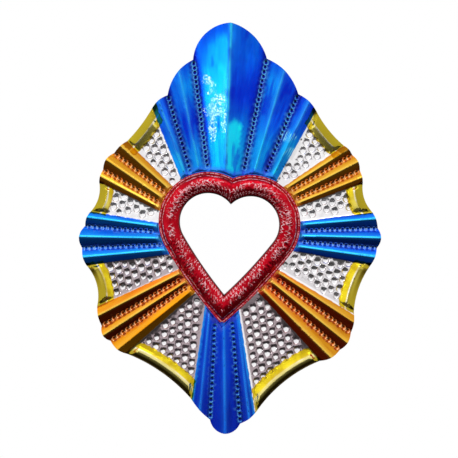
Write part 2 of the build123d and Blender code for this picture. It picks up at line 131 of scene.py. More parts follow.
class Ray:
    """Pleated ray of the sheet, whose edges and folds all run to one focus."""

    def __init__(self, rim, rises, folds, roots, hollow, shift, stops, outer, inner, border, shade):
        self.rim, self.rises, self.hollow, self.shift, self.stops = np.array(rim), rises, hollow, shift, stops
        self.outer, self.inner, self.border, self.shade = np.array(outer), np.array(inner), border, shade
        golden = outer[0] > 0.5
        self.pale = PALE_GOLD if golden else PALE_NAVY if outer is NAVY else PALE_BLUE
        self.pool = (0.85, 0.55, 0.5) if golden else (0.8, 0.55, 0.8)
        a, b = self.rim[0], self.rim[-1]
        c, d = np.array(roots)
        self.focus = a + (c - a) * cross(b - a, d - b) / cross(c - a, d - b)
        self.valleys = [self.rim[i] for i in folds]
        self.feet = [a, *self.valleys, b]

    def edges(self, q):
        """Distances inside the ray's first and second edge."""
        a, b = self.rim[0] - self.focus, self.rim[-1] - self.focus
        d = q - self.focus
        return -cross(a, d) / norm(a), cross(b, d) / norm(b)

    def ridges(self):
        """Feet, width, ends and height of each ridge between the valleys."""
        for i, (left, right) in enumerate(zip(self.feet, self.feet[1:])):
            width = norm(right - left)
            lo = VALLEY / 2 / width if i else 0.0
            hi = 1 - VALLEY / 2 / width if i < len(self.feet) - 2 else 1.0
            yield left, right, width, lo, hi, min(CREST_LIMIT, CREST_PITCH * width / 2)

    def folded(self, q):
        """For each ridge: how far out points lie, their share of the way from crest to foot, and its sizes."""
        d = q - self.focus
        for left, right, width, lo, hi, rise in self.ridges():
            e1, e2 = left - self.focus, right - left
            det = cross(e1, e2)
            s = cross(d, e2) / det
            f = cross(e1, d) / det / np.where(np.abs(s) < 1e-6, 1e-6, s)
            yield s, np.abs(f - (lo + hi) / 2) / ((hi - lo) / 2), width, hi - lo, rise


rays = [Ray(*r) for r in RAYS]


def heart_axes(q):
    """Template points in the heart's own axes."""
    du, dv = q[:, 0] - HEART_U, q[:, 1] - HEART_V
    return du * TILT_COS - dv * TILT_SIN, du * TILT_SIN + dv * TILT_COS


def grow(q):
    """How far a template point lies outside the heart's inner contour."""
    x, y = heart_axes(q)
    x = np.abs(x)
    lobe = np.hypot(x - LOBE_U, y) - LOBE_R
    side = np.hypot(x - SIDE_U, y - SIDE_V) - SIDE_R
    return np.where(np.arctan2(y, x - LOBE_U) > -SHOULDER, lobe, side)


def heart_place(x, y):
    """Points of the heart's own axes in the template."""
    return np.stack([HEART_U + x * TILT_COS + y * TILT_SIN, HEART_V - x * TILT_SIN + y * TILT_COS], -1)


def half_heart(g, n_side, n_lobe):
    """Right half of the heart at a growth, from its tip to its cleft, in its own axes."""
    low = -math.acos(-SIDE_U / (SIDE_R + g))
    high = math.pi - math.acos(LOBE_U / (LOBE_R + g))
    a = np.linspace(low, -SHOULDER, n_side + 1)[:-1]
    b = np.linspace(-SHOULDER, high, n_lobe + 1)
    x = np.concatenate([SIDE_U + (SIDE_R + g) * np.cos(a), LOBE_U + (LOBE_R + g) * np.cos(b)])
    y = np.concatenate([SIDE_V + (SIDE_R + g) * np.sin(a), (LOBE_R + g) * np.sin(b)])
    return x, y


def whole_heart(x, y):
    """Closed outline in the template, from its right half."""
    return heart_place(np.concatenate([x[:-1], -x[:0:-1]]), np.concatenate([y[:-1], y[:0:-1]]))


class Hollow:
    """Concave stretch of the rim between two rays, with its moulding."""

    def __init__(self, ray, following, bow):
        self.before, self.after, self.border, self.bow = ray, following, ray.border, bow
        a, b = ray.rim[-1], following.rim[0]
        chord, dip = norm(b - a), ray.hollow
        self.radius = (chord**2 / 4 + dip**2) / (2 * dip)
        out = np.array([a[1] - b[1], b[0] - a[0]]) / chord
        self.centre = (a + b) / 2 + out * (self.radius - dip)
        self.half = math.asin(chord / (2 * self.radius)) + BAND_PAST / self.radius
        self.inward = -out

    def between(self, q):
        """Distance from the nearer of the two rays."""
        return np.minimum(-self.before.edges(q)[1], -self.after.edges(q)[0])

    def measure(self, q):
        """Distance in from the rim's arc, and distance from the nearer ray, far below 0 beside the hollow."""
        d = q - self.centre
        depth = np.hypot(d[:, 0], d[:, 1]) - self.radius
        turn = np.arctan2(cross(self.inward, d), d @ self.inward)
        return depth, np.where(np.abs(turn) < self.half, self.between(q), NOWHERE)


# The tray behind the heart: its half width, middle and half height, its flanges' length and their reach
GLASS_LAP, TRAY_GAP, TRAY_FLANGE, TRAY_APRON = 4.0, 0.5, 22.0, 5.6
heart_tip = half_heart(0.0, 1, 1)[1][0]
TRAY_HALF = LOBE_U + LOBE_R + GLASS_LAP + TRAY_GAP + TIN
TRAY_V = (LOBE_R + heart_tip) / 2
TRAY_TALL = (LOBE_R - heart_tip) / 2 + GLASS_LAP + TRAY_GAP + TIN
LOWEST = (3, 4)
hollows = [
    Hollow(ray, rays[(i + 1) % len(rays)], LOW_BOW if i in LOWEST else BAND_BOW) for i, ray in enumerate(rays)
]


def relief(q):
    """Height of the pressed sheet's back over its flat plane, without the punch marks."""
    h = np.zeros(len(q))
    for ray in rays:
        for s, off, width, _, rise in ray.folded(q):
            soft = CREST_SOFT / width
            tent = 1 - (np.sqrt(off**2 + soft**2) - soft) / (math.sqrt(1 + soft**2) - soft)
            h = np.maximum(h, np.where(s > 0.05, s * rise * np.clip(tent, 0, 1), 0))
    h = np.minimum(h, ROOT_SLOPE * np.clip(grow(q) - RING_W - RING_LAND, 0, None))
    for hollow in hollows:
        depth, gap = hollow.measure(q)
        out = depth / BAND_CREST
        slope = BAND_RISE * out + 4 * hollow.bow * out * (1 - out)
        drop = BAND_RISE * np.clip(1 - (depth - BAND_CREST) / (BAND_FOOT - BAND_CREST), 0, None) ** BAND_FALL
        bead = np.minimum(slope, drop)
        bead = bead - np.clip(BAND_ROUND - np.abs(slope - drop), 0, None) ** 2 / (4 * BAND_ROUND)
        bead = np.minimum(bead, (gap - BAND_END) / math.tan(BAND_DRAFT))
        h = np.maximum(h, np.where((depth > 0) & (depth < BAND_FOOT) & (gap > 0), bead, 0))
    return h


def across(q):
    """Share of the way from a ridge's crest to its foot, and distance from the crest."""
    share, far, best = np.ones(len(q)), np.full(len(q), 99.0), np.zeros(len(q))
    for ray in rays:
        for s, off, width, part, rise in ray.folded(q):
            mine = (s > 0.2) & (off < 1) & (s * rise * (1 - off) > best)
            best = np.where(mine, s * rise * (1 - off), best)
            share = np.where(mine, off, share)
            far = np.where(mine, off * part / 2 * width * s, far)
    return share, far


# Rim and opening of the sheet
RIM_STEP, OPENING = 1.1, 0.5
rim = []
for i, ray in enumerate(rays):
    for start, end, rise in zip(ray.rim, ray.rim[1:], ray.rises):
        rim.append(arc(start, end, rise, RIM_STEP))
    rim.append(arc(ray.rim[-1], rays[(i + 1) % len(rays)].rim[0], -ray.hollow, RIM_STEP))
rim = np.concatenate(rim)
opening = whole_heart(*half_heart(OPENING, 34, 44))


def inside_rim(q):
    """Even-odd test against the rim."""
    x, y = q[:, 0], q[:, 1]
    hit = np.zeros(len(q), bool)
    for (ax, ay), (bx, by) in zip(rim, np.roll(rim, -1, 0)):
        span = (ay > y) != (by > y)
        hit ^= span & (x < (bx - ax) * (y - ay) / (by - ay if by != ay else 1e-9) + ax)
    return hit


def rim_gap(q):
    """Distance to the nearest rim point."""
    best = np.full(len(q), 1e9)
    for block in np.array_split(rim, 12):
        d = np.hypot(q[:, None, 0] - block[None, :, 0], q[:, None, 1] - block[None, :, 1])
        best = np.minimum(best, d.min(1))
    return best


def over_tray(q, margin):
    """Where the tray, its flanges or their solder lie behind the sheet."""
    x, y = heart_axes(q)
    x, y = np.abs(x), np.abs(y - TRAY_V)
    beside = x - TRAY_HALF - margin > np.where(y < TRAY_FLANGE / 2 + margin, TRAY_APRON, 0)
    beyond = y - TRAY_TALL - margin > np.where(x < TRAY_FLANGE / 2 + margin, TRAY_APRON, 0)
    return ~(beside | beyond)


# Punch marks, all struck from the front: rows of small beads along the valleys and larger marks over the bare
# fields. Each has its place, radius, depth, the flat share of its floor and how far that floor leans.
BEAD_R, BEAD_DEPTH, SOFT_BEAD_DEPTH = 1.4, 0.68, 0.46
BEAD_STEP, FAN_BEAD_STEP, BEAD_START, BEAD_ROOM, BEAD_STRAY = 3.2, 2.85, 2.4, 2.2, 0.12
LEAST_FIELD_R, CLOSE_DEPTH, SPARE_R, SPARE_DEPTH, SPARE_STEP = 1.7, 0.66, 0.9 * MARK_R, 0.6, 0.6
BAND_ROOM, FOLD_ROOM, SPARE_FOLD_ROOM, RING_ROOM, FIELD_STRAY = 0.25, 1.7, 1.5, 1.8, 0.14
SPARE_PITCH = (0.9, 0.9, 0.84, 0.9, 0.9, 0.78, 0.9, 0.9)
FIELD_FLOOR = (0.64, 0.57, 0.42, 0.58, 0.58, 0.38, 0.57, 0.64)
LEVEL, LEFT_LEAN, RIGHT_LEAN, LOW_LEAN = (0.0, 0.02), (-0.05, 0.03), (-0.02, 0.03), (0.03, 0.09)
FIELD_LEAN = (LEVEL, LEVEL, RIGHT_LEAN, LOW_LEAN, LOW_LEAN, LEFT_LEAN, LEVEL, LEVEL)
FAN, BOTTOM, LOWER_LEFT = 0, 4, 5


def spread(hollow, deep_by, wide_by):
    """Places in a field, from the middle of its rim's arc."""
    sideways = np.array([-hollow.inward[1], hollow.inward[0]])
    middle = hollow.centre + hollow.inward * hollow.radius
    return middle + np.outer(deep_by, hollow.inward) + np.outer(wide_by, sideways)


def roomy(hollow, q, fold_room, band_room):
    """Places with room for a mark between the folds, the border and the frame."""
    fits = (hollow.between(q) > fold_room) & (hollow.measure(q)[0] > BAND + MARK_R + band_room)
    return q[fits & (grow(q) > RING_W + RING_ROOM) & inside_rim(q)]


def paired(a, b):
    return [c.ravel() for c in np.meshgrid(a, b, indexing="ij")]


marks = []
for i, ray in enumerate(rays):
    step = FAN_BEAD_STEP if i == FAN else BEAD_STEP
    deep = SOFT_BEAD_DEPTH if i in (FAN, BOTTOM) else BEAD_DEPTH
    for valley in ray.valleys:
        way = ray.focus - valley
        long = norm(way)
        way = way / long
        at = BEAD_START
        while at < long:
            p = (valley + way * at)[None] + rng.normal(0, BEAD_STRAY, (1, 2))
            if grow(p)[0] < RING_W + BEAD_ROOM:
                break
            marks.append((p[0], BEAD_R * rng.uniform(0.92, 1.06), deep, 0.0, 0.0))
            at += step + rng.normal(0, BEAD_STRAY)
for i, hollow in enumerate(hollows):
    rows, columns = paired(np.arange(14), np.arange(-14, 15))
    deep_by = (rows + hollow.before.shift[0]) * MARK_PITCH * MARK_ROW
    wide_by = (columns + 0.5 * (rows % 2) + hollow.before.shift[1]) * MARK_PITCH
    q = roomy(hollow, spread(hollow, deep_by, wide_by), FOLD_ROOM, BAND_ROOM)
    q = q + rng.normal(0, FIELD_STRAY, q.shape)
    for p, close in zip(q, over_tray(q, MARK_R + BAND_ROOM)):
        lean = rng.uniform(*FIELD_LEAN[i])
        deep = CLOSE_DEPTH if close else MARK_DEPTH
        marks.append((p, MARK_R * rng.uniform(0.9, 1.1), deep, FIELD_FLOOR[i], lean))
    # Smaller marks where the lattice leaves room beside the folds
    deep_by, wide_by = paired(np.arange(0, 50, SPARE_STEP), np.arange(-40, 40, SPARE_STEP))
    for p in roomy(hollow, spread(hollow, deep_by, wide_by), SPARE_FOLD_ROOM, 0.0):
        if np.hypot(*(q - p).T).min() > SPARE_PITCH[i] * MARK_PITCH:
            q = np.vstack([q, p])
            marks.append((p, SPARE_R, SPARE_DEPTH, FIELD_FLOOR[i], FIELD_LEAN[i][0]))


def about(q, reach):
    """Each mark, the points of q in a square about it, and their distances from it in its radii."""
    for mark in marks:
        p, radius = mark[:2]
        du, dv = (q - p).T
        near = np.nonzero((np.abs(du) < radius * reach) & (np.abs(dv) < radius * reach))[0]
        yield mark, near, np.hypot(du[near], dv[near]) / radius


def mark_and_field_shade(q):
    """Painted shade round the rims of the field marks, and darker tin in the lower fields as painted shade, with
    and without the marks.
    """
    ring, lower_field_shade, bowl = np.zeros(len(q)), np.zeros(len(q)), np.zeros(len(q))
    for (_, radius, *_), near, r in about(q, 1.3):
        if radius > LEAST_FIELD_R:
            ring[near] = np.maximum(ring[near], np.clip(1 - np.abs(r - 0.95) / 0.22, 0, 1))
            bowl[near] = np.maximum(bowl[near], np.clip((0.85 - r) / 0.3, 0, 1))
    # Painted shade: darker tin over the lower fields
    for hollow, share in zip(hollows[2:6], (0.25, 1.0, 1.0, 0.9)):
        inside = (hollow.between(q) > -0.6) & (hollow.measure(q)[0] < 90)
        lower_field_shade = np.maximum(lower_field_shade, np.where(inside, share, 0.0))
    return ring, lower_field_shade, lower_field_shade * (1 - bowl)


def lip_light_and_pit_shade(q):
    """Share of painted highlight on the lips of the small marks, and of painted shade in them."""
    lip_highlight, pit_shade = np.zeros(len(q)), np.zeros(len(q))
    for (_, radius, *_), near, r in about(q, 1.2):
        if radius < LEAST_FIELD_R:
            lip_highlight[near] = np.maximum(lip_highlight[near], np.clip(1 - np.abs(r - 0.86) / 0.25, 0, 1))
            pit_shade[near] = np.maximum(pit_shade[near], np.clip(1 - r / 0.6, 0, 1))
    return lip_highlight[:, None], pit_shade[:, None]


def punched(q):
    """Depth of the punch marks."""
    h = np.zeros(len(q))
    for (p, radius, deep, floor, lean), near, r in about(q, 1.0):
        if radius > LEAST_FIELD_R:
            wall = np.clip((r - floor) / (1 - floor), 0, 1) ** 2
            h[near] = np.maximum(h[near], (deep + lean * (q[near, 1] - p[1])) * (1 - wall))
        else:
            h[near] = np.maximum(h[near], deep * (1 - np.minimum(r, 1) ** 2) ** 1.1)
    return h


# Points of the sheet's mesh: crease lines, mouldings, marks and a filling grid
CREASE_STEP, CREST_LINES, FOOT_LINES = 1.25, (-2.4, -1.2, -0.5, 0, 0.5, 1.2, 2.4), (0, 0.7)
BAND_STEP, BAND_LINES = 1.2, (0.9, 1.9, 2.9, 3.8, 4.4, 4.8, 5.1, 5.4, 5.75, 6.2, 7.0, 7.9, 8.8)
ROOT_LINES = (0.0, 0.5, 1.0, 1.6, 2.6)
points = []
for ray in rays:
    for left, right, width, lo, hi, rise in ray.ridges():
        mid = (lo + hi) / 2
        far = norm((left + right) / 2 - ray.focus)
        for s in np.arange(0.3, 1.26, CREASE_STEP / far):
            local = width * s
            shares = [mid + o / local for o in CREST_LINES]
            shares += [lo + o / local for o in FOOT_LINES] + [hi - o / local for o in FOOT_LINES]
            for f in shares:
                if lo <= f <= hi:
                    points.append(ray.focus + s * (left + (right - left) * f - ray.focus))
for hollow in hollows:
    base = math.atan2(hollow.inward[1], hollow.inward[0])
    for depth in BAND_LINES:
        r = hollow.radius + depth
        for t in np.arange(-hollow.half, hollow.half, BAND_STEP / r):
            points.append(hollow.centre + r * np.array([math.cos(base + t), math.sin(base + t)]))
for g in ROOT_LINES:
    x, y = half_heart(RING_W + RING_LAND + g, 70, 90)
    points += list(heart_place(x, y)) + list(heart_place(-x, y))
points = np.array(points)
FIELD_DOTS = ((0.28, 6), (0.52, 12), (0.66, 14), (0.8, 16), (0.93, 18), (1.03, 18), (1.16, 16))
BEAD_DOTS = ((0.3, 5), (0.6, 8), (0.86, 11), (1.04, 12))
disc = []
for p, radius, *_ in marks:
    disc.append(p[None])
    for share, n in FIELD_DOTS if radius > LEAST_FIELD_R else BEAD_DOTS:
        t = np.arange(n) / n * 2 * math.pi + share * 9
        disc.append(p + share * radius * np.stack([np.cos(t), np.sin(t)], 1))
disc = np.concatenate(disc)
GRID_U, GRID_V = 1.7, 1.47
RIM_CLEAR, OPENING_CLEAR, LINE_CLEAR, GRID_CLEAR = 0.62, 0.9, 1.06, 1.2
DISC_CELL, LINE_CELL, GRID_CELL = 0.2, 0.36, 0.9
gu, gv = np.meshgrid(np.arange(-95, 95, GRID_U), np.arange(-120, 135, GRID_V))
gu = gu + (np.arange(gu.shape[0]) % 2)[:, None] * GRID_U / 2
grid = np.stack([gu.ravel(), gv.ravel()], 1)


def clear_of_marks(q, reach):
    """Points of q outside the marks."""
    keep = np.ones(len(q), bool)
    for _, near, r in about(q, reach):
        keep[near[r < reach]] = False
    return q[keep]


def cell_of(p, cell):
    return math.floor(p[0] / cell), math.floor(p[1] / cell)


def thin(q, cell, taken):
    """Points of q, at most one to a cell, where no earlier point is."""
    out = []
    for p in q:
        key = cell_of(p, cell)
        if key not in taken:
            taken.add(key)
            out.append(p)
    return np.array(out)


def usable(q):
    """Points of q clear of the sheet's rim and opening."""
    q = q[inside_rim(q)]
    q = q[grow(q) > OPENING + OPENING_CLEAR]
    return q[rim_gap(q) > RIM_CLEAR]


disc = usable(disc)
points = usable(clear_of_marks(points, LINE_CLEAR))
points = points[grow(points) > RING_W - 0.5]
grid = usable(clear_of_marks(grid, GRID_CLEAR))
taken = set()
disc = thin(disc, DISC_CELL, taken)
points = thin(points, LINE_CELL, taken)
cells = {cell_of(p, GRID_CELL) for p in np.concatenate([disc, points])}
grid = thin(grid, GRID_CELL, cells)
flat = np.concatenate([rim, opening, disc, points, grid])
n_rim, n_open = len(rim), len(opening)
ring_edges = [(i, (i + 1) % n_rim) for i in range(n_rim)]
ring_edges += [(n_rim + i, n_rim + (i + 1) % n_open) for i in range(n_open)]
made = geometry.delaunay_2d_cdt([Vector(p) for p in flat], ring_edges, [], 0, 1e-5)
flat = np.array([tuple(v) for v in made[0]])
tris = np.array([f for f in made[2] if len(f) == 3])
centre = flat[tris].mean(1)
tris = tris[inside_rim(centre) & (grow(centre) > OPENING)]
turned = cross(flat[tris[:, 1]] - flat[tris[:, 0]], flat[tris[:, 2]] - flat[tris[:, 0]]) < 0
tris[turned] = tris[turned][:, ::-1]
used, index = np.unique(tris, return_inverse=True)
flat, tris = flat[used], index.reshape(-1, 3)
n = len(flat)
pressed = relief(flat)
dent = punched(flat)
# Over the glass and the strap the marks are shallower, and the sheet's back stays clear of both.
GLASS_DENT, GLASS_BACK, STRAP_DENT, STRAP_BACK = 0.62, -0.3, 0.34, 0.02
STRAP_HALF_U, STRAP_HALF_V = 22, 8
near_glass = over_tray(flat, 0.3)
dent = np.where(near_glass, np.minimum(dent, GLASS_DENT), dent)
over_strap = (np.abs(flat[:, 0]) < STRAP_HALF_U) & (np.abs(flat[:, 1] - HANG_V) < STRAP_HALF_V)
dent = np.where(over_strap, np.minimum(dent, STRAP_DENT), dent)
back = np.where(near_glass, np.maximum(pressed - dent, GLASS_BACK), pressed - dent)
back = np.where(over_strap, np.maximum(back, STRAP_BACK), back)
edges = dict.fromkeys(e for a, b, c in tris for e in ((a, b), (b, c), (c, a)))
walls = [(a, b) for a, b in edges if (b, a) not in edges]
faces = [*tris, *(n + tris[:, ::-1])]
faces += [(b, a, n + a, n + b) for a, b in walls]
coords = np.concatenate([
    row(np.column_stack([flat, pressed - dent + TIN])),
    row(np.column_stack([flat, back])),
])


def mesh_object(name, verts, faces, body, sharp=None):
    """Smooth mesh that rides on a body, with sharp edges from an angle on."""
    mesh = bpy.data.meshes.new(name)
    mesh.from_pydata([tuple(v) for v in verts], [], [tuple(int(i) for i in f) for f in faces])
    mesh.polygons.foreach_set("use_smooth", np.ones(len(mesh.polygons), bool))
    if sharp:
        mesh.set_sharp_from_angle(angle=math.radians(sharp))
    mesh.update()
    obj = bpy.data.objects.new(name, mesh)
    bpy.context.scene.collection.objects.link(obj)
    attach(obj, body)
    return obj


sheet = mesh_object("pressed_sheet", coords, faces, "ornament", sharp=48)
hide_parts("face_sheet")

# Where each lacquer lies: distance inside a ray's and a border's paint, depth in from the rim, the ray's tint with
# its painted shade and painted light, and the place across and along it
step = 0.05
slope_v = (relief(flat + [0, step]) - relief(flat - [0, step])) / (2 * step)
slope_u = (relief(flat + [step, 0]) - relief(flat - [step, 0])) / (2 * step)
# How far each slope faces down, which sets the painted shade and painted light on it
under = np.clip(slope_v / 0.4, -1, 1) * 0.5 + 0.5
share, off_crest = across(flat)
# Darker towards each ridge's foot: lacquer pooled in the valleys, and painted shade there
pool = np.clip((share - 0.5) / 0.5, 0, 1)[:, None] ** 1.5
# Paler along the crests and on slopes facing up: lacquer rubbed thin on the crests, and painted highlight
thin_coat_and_highlight = 0.8 * np.exp(-((off_crest / 0.6) ** 2)) + 0.35 * (1 - under) * np.exp(-((off_crest / 2.2) ** 2))
thin_coat_and_highlight = np.clip(thin_coat_and_highlight, 0, 1)[:, None]
lip_highlight, pit_shade = lip_light_and_pit_shade(flat)
ray_in = np.full(n, NOWHERE)
tint = np.zeros((n, 3))
grain = np.zeros((n, 3))
nearest = np.full(n, -999.0)
RAY_APART = 37.0
from_frame = grow(flat) - RING_W
reach = np.clip(from_frame / 46, 0, 1)[:, None] ** 0.8
for i, ray in enumerate(rays):
    first, second = ray.edges(flat)
    inner = np.minimum(first - ray.stops[0], second - ray.stops[1])
    middle = (ray.rim[0] + ray.rim[-1]) / 2 - ray.focus
    middle = middle / norm(middle)
    along = (flat - ray.focus) @ middle
    inner = np.where(along > 0, inner, NOWHERE)
    colour = blend(ray.inner, ray.outer, reach)
    # The ray's slopes facing down take its multiplier: painted shade where it darkens, painted light where it
    # brightens
    colour = blend(colour, colour * ray.shade, under[:, None])
    colour = blend(colour, colour * ray.pool, pool)
    colour = blend(colour, ray.pale, thin_coat_and_highlight)
    if i == BOTTOM:
        # Painted highlight: cyan stripes along the bottom ray's edges
        edge_highlight = (0.75 * np.exp(-(((inner - 0.6) / 0.7) ** 2)))[:, None]
        colour = blend(colour, (0.02, 0.42, 1.0), edge_highlight)
    if i == LOWER_LEFT:
        # Painted light on the lower-left ray's low flank
        low_flank_light = (1 - ease(first, 5.0, 7.5))[:, None]
        colour = blend(colour, np.minimum(ray.outer * 1.15, 1), low_flank_light)
    mine = inner > nearest
    nearest = np.where(mine, inner, nearest)
    tint = np.where(mine[:, None], colour, tint)
    side = (first - second) / np.maximum(along, 1) * 60
    grain = np.where(mine[:, None], np.column_stack([side, along * 0.12, np.full(n, RAY_APART * i)]), grain)
    ray_in = np.maximum(ray_in, inner)

# The fan's colour, mostly painted reflection: painted highlight on the left of its middle crest and low on the
# right, painted shade in the valleys and on the outer facets, with paler patches of painted reflection
fan = rays[FAN]
first, second = fan.edges(flat)
in_fan = np.minimum(first, second) > -3
out, top = flat - fan.focus, np.array([0.0, 108.6]) - fan.focus
lean = cross(top, out) / norm(top)
far = out @ top / norm(top) / norm(top)
lean = lean / np.maximum(far, 0.2)
valley = np.full(n, 99.0)
for fold in fan.valleys:
    way = fold - fan.focus
    valley = np.minimum(valley, np.abs(cross(way, out)) / norm(way))
height = flat[:, 1]
# Painted highlight: left of the middle crest, low on the right, low on the fan and on outer facets facing left
pale = ease(lean, 0.6, 2.4) * (1 - ease(lean, 15.5, 18.5))
low_right = ease(-lean, 0.3, 1.0) * (1 - ease(-lean, 11, 14))
pale = np.maximum(pale, low_right * (1 - ease(height + np.abs(lean + 6) * 0.5, 70, 75)))
pale = np.maximum(pale, 0.55 * (1 - ease(height, 40, 88)))
pale = np.maximum(pale, 0.35 * (slope_u > 0.05) * (np.abs(lean) > 20))
# Painted shade on the facets facing right and on the outer facets
cool = (ease(-lean, 0.3, 0.8) * (1 - ease(-lean, 19, 22)) * (1 - 0.5 * ease(height, 98, 125)))[:, None]
cool = np.maximum(cool, ((0.5 - 0.3 * (lean > 0)) * (slope_u < -0.05) * (np.abs(lean) > 20))[:, None])
pale = np.where(lean < -20, 0.4 * pale, pale)
# Painted shade in the valleys
deep = (1 - ease(valley, 1.9, 3.6))[:, None]
high = ease(height, 84, 112)[:, None]
blue = blend(BLUE, blend((0.001, 0.038, 0.74), (0.001, 0.095, 0.84), high), cool)
blue = blend(blue, (0.001, 0.015, 0.34), deep)
pale = pale * (1 - deep[:, 0])
right = ease(-lean, 0.0, 1.0)[:, None]
light = blend((0.003, 0.33, 0.84), (0.008, 0.74, 1.0), right)
top_edge = (0.95 * (1 - ease(rim_gap(flat), 2.0, 12.0)) * ease(height, 96, 108))[:, None]
light = blend(light, (0.001, 0.06, 0.66), top_edge)
colour = blend(blue, light, pale[:, None])
colour = blend(colour, (0.04, 0.64, 1.0), thin_coat_and_highlight)
# Painted shade on the upper outer facets
colour[:, 1] *= 1 - 0.42 * ease(np.abs(lean), 15, 20) * ease(height, 50, 68)
# Paler patches of painted reflection
for place, size, share in (
    ((-25.0, 92.0), (4.5, 8.0), 0.65),
    ((24.0, 92.0), (5.0, 8.0), 0.45),
    ((36.0, 56.0), (6.0, 9.0), 0.7),
    ((19.0, 57.0), (4.5, 9.0), 0.5),
):
    patch = share * np.exp(-(((flat - place) / size) ** 2).sum(1))[:, None] * (1 - deep)
    colour = blend(colour, (0.006, 0.50, 1.0), patch)
root = (1 - ease(from_frame, 1.5, 5.0))[:, None]
colour = blend(colour, (0.002, 0.22, 1.0), root)
tint = np.where(in_fan[:, None], colour, tint)
# Painted highlight on the beads' lips and painted shade in their pits
LIP_SHARE = 0.8
soft = (in_fan | (grain[:, 2] == RAY_APART * BOTTOM))[:, None]
bright = np.where(soft, (0.14, 0.58, 1.0), (0.42, 0.74, 1.0))
bright = np.where(tint[:, :1] > 0.3, (1.0, 0.70, 0.36), bright)
tint = blend(tint, bright, LIP_SHARE * lip_highlight)
tint = tint * (1 - np.where(soft, 0.2, 0.6) * pit_shade)

band_in = np.full(n, NOWHERE)
band_at = np.full(n, -NOWHERE)
cream = np.zeros(n)
for hollow in hollows:
    depth, gap = hollow.measure(flat)
    at_fan = fan in (hollow.before, hollow.after)
    inner = np.minimum(hollow.border - depth, gap + (3.2 if at_fan else 1.2))
    inner = np.where(gap > NOWHERE / 2, inner, NOWHERE)
    band_at = np.where(inner > band_in, depth, band_at)
    band_in = np.maximum(band_in, inner)
    # Painted highlight: a cream band near the crest of the lowest borders
    if hollow.bow == LOW_BOW:
        cream = np.maximum(cream, np.where(gap > NOWHERE / 2, np.exp(-(((depth - 4.5) / 1.0) ** 2)), 0))


def attribute(mesh, name, kind, values):
    """One value, vector or colour for each point of a mesh."""
    layer = mesh.attributes.new(name, kind, "POINT")
    field = {"FLOAT_COLOR": "color", "FLOAT_VECTOR": "vector", "FLOAT": "value"}[kind]
    layer.data.foreach_set(field, np.asarray(values, np.float32).ravel())


# Patches where the fan's lacquer has wrinkled on its left facet, with painted glints, and scratches low on its
# right edge
wrinkle_and_glint = np.zeros(n)
for place, size in (
    ((-13.2, 92.4), (3.2, 6.0)),
    ((-7.8, 85.2), (5.4, 4.2)),
    ((-9.0, 78.0), (6.0, 4.2)),
    ((-10.4, 67.2), (2.6, 8.6)),
    ((-3.9, 70.0), (1.8, 6.0)),
):
    far = (((flat - place) / size) ** 2).sum(1)
    wrinkle_and_glint = np.maximum(wrinkle_and_glint, np.clip(1.25 - far * 0.5, 0, 1) * in_fan)
scratch = np.clip(1.3 - (((flat - [35.0, 55.0]) / [7.0, 10.0]) ** 2).sum(1), 0, 1) * in_fan
rim_shade, low_field, lower_field_shade = mark_and_field_shade(flat)
for name, values in {
    "ray_in": ray_in,
    "band_in": band_in,
    "band_at": band_at,
    "under": under,
    "cream": cream,
    "wrinkle_and_glint": wrinkle_and_glint,
    "scratch": scratch,
    # Painted shade round the field marks' rims, stronger in the lower fields
    "mark_rim_shade": rim_shade * (0.42 + 0.22 * low_field),
    "lower_field_shade": lower_field_shade,
    "root": 1 - ease(from_frame, 2.4, 3.6),
    "fan": in_fan,
}.items():
    attribute(sheet.data, name, "FLOAT", np.tile(values, 2))
attribute(sheet.data, "grain", "FLOAT_VECTOR", np.tile(grain, (2, 1)))
attribute(sheet.data, "tint", "FLOAT_COLOR", np.tile(np.column_stack([tint, np.ones(n)]), (2, 1)))
attribute(sheet.data, "face", "FLOAT", np.repeat([1, 0], n))

# Heart frame: half-round band with a flange, an inner skirt and tabs behind the sheet
span = RING_W - RING_FLANGE
section = [(RING_W, TIN), (RING_W, 2 * TIN), (RING_W - RING_FLANGE * 0.5, 2 * TIN), (span, 2 * TIN)]
rise = RING_CROWN - 2 * TIN
arch_rad = (span**2 / 4 + rise**2) / (2 * rise)
arch_half = 2 * math.atan(2 * rise / span)
for t in np.linspace(arch_half, -arch_half, 35)[1:]:
    section.append((span / 2 + arch_rad * math.sin(t), 2 * TIN + rise - arch_rad + arch_rad * math.cos(t)))
section += [(0.0, 0.3), (0.0, -TIN), (TIN, -TIN)]
N_SIDE, N_LOBE, TIP_CUT, TIP_SLOPE = 150, 150, 1.7, 0.42
tip = half_heart(RING_W, 1, 1)[1][0]
loops = []
for g, w in section:
    x, y = half_heart(g, N_SIDE, N_LOBE)
    if g > RING_W - 1.0:
        y = np.maximum(y, tip + TIP_CUT - TIP_SLOPE * np.abs(x))
    outline = whole_heart(x, y)
    loops.append(np.column_stack([outline, np.full(len(outline), w)]))
loops = np.array(loops)
k, m = loops.shape[:2]
stretch = norm(np.roll(loops[:, :, :2], -1, 1) - loops[:, :, :2], axis=2).cumsum(1)
gs = np.array([g for g, _ in section])[:, None]
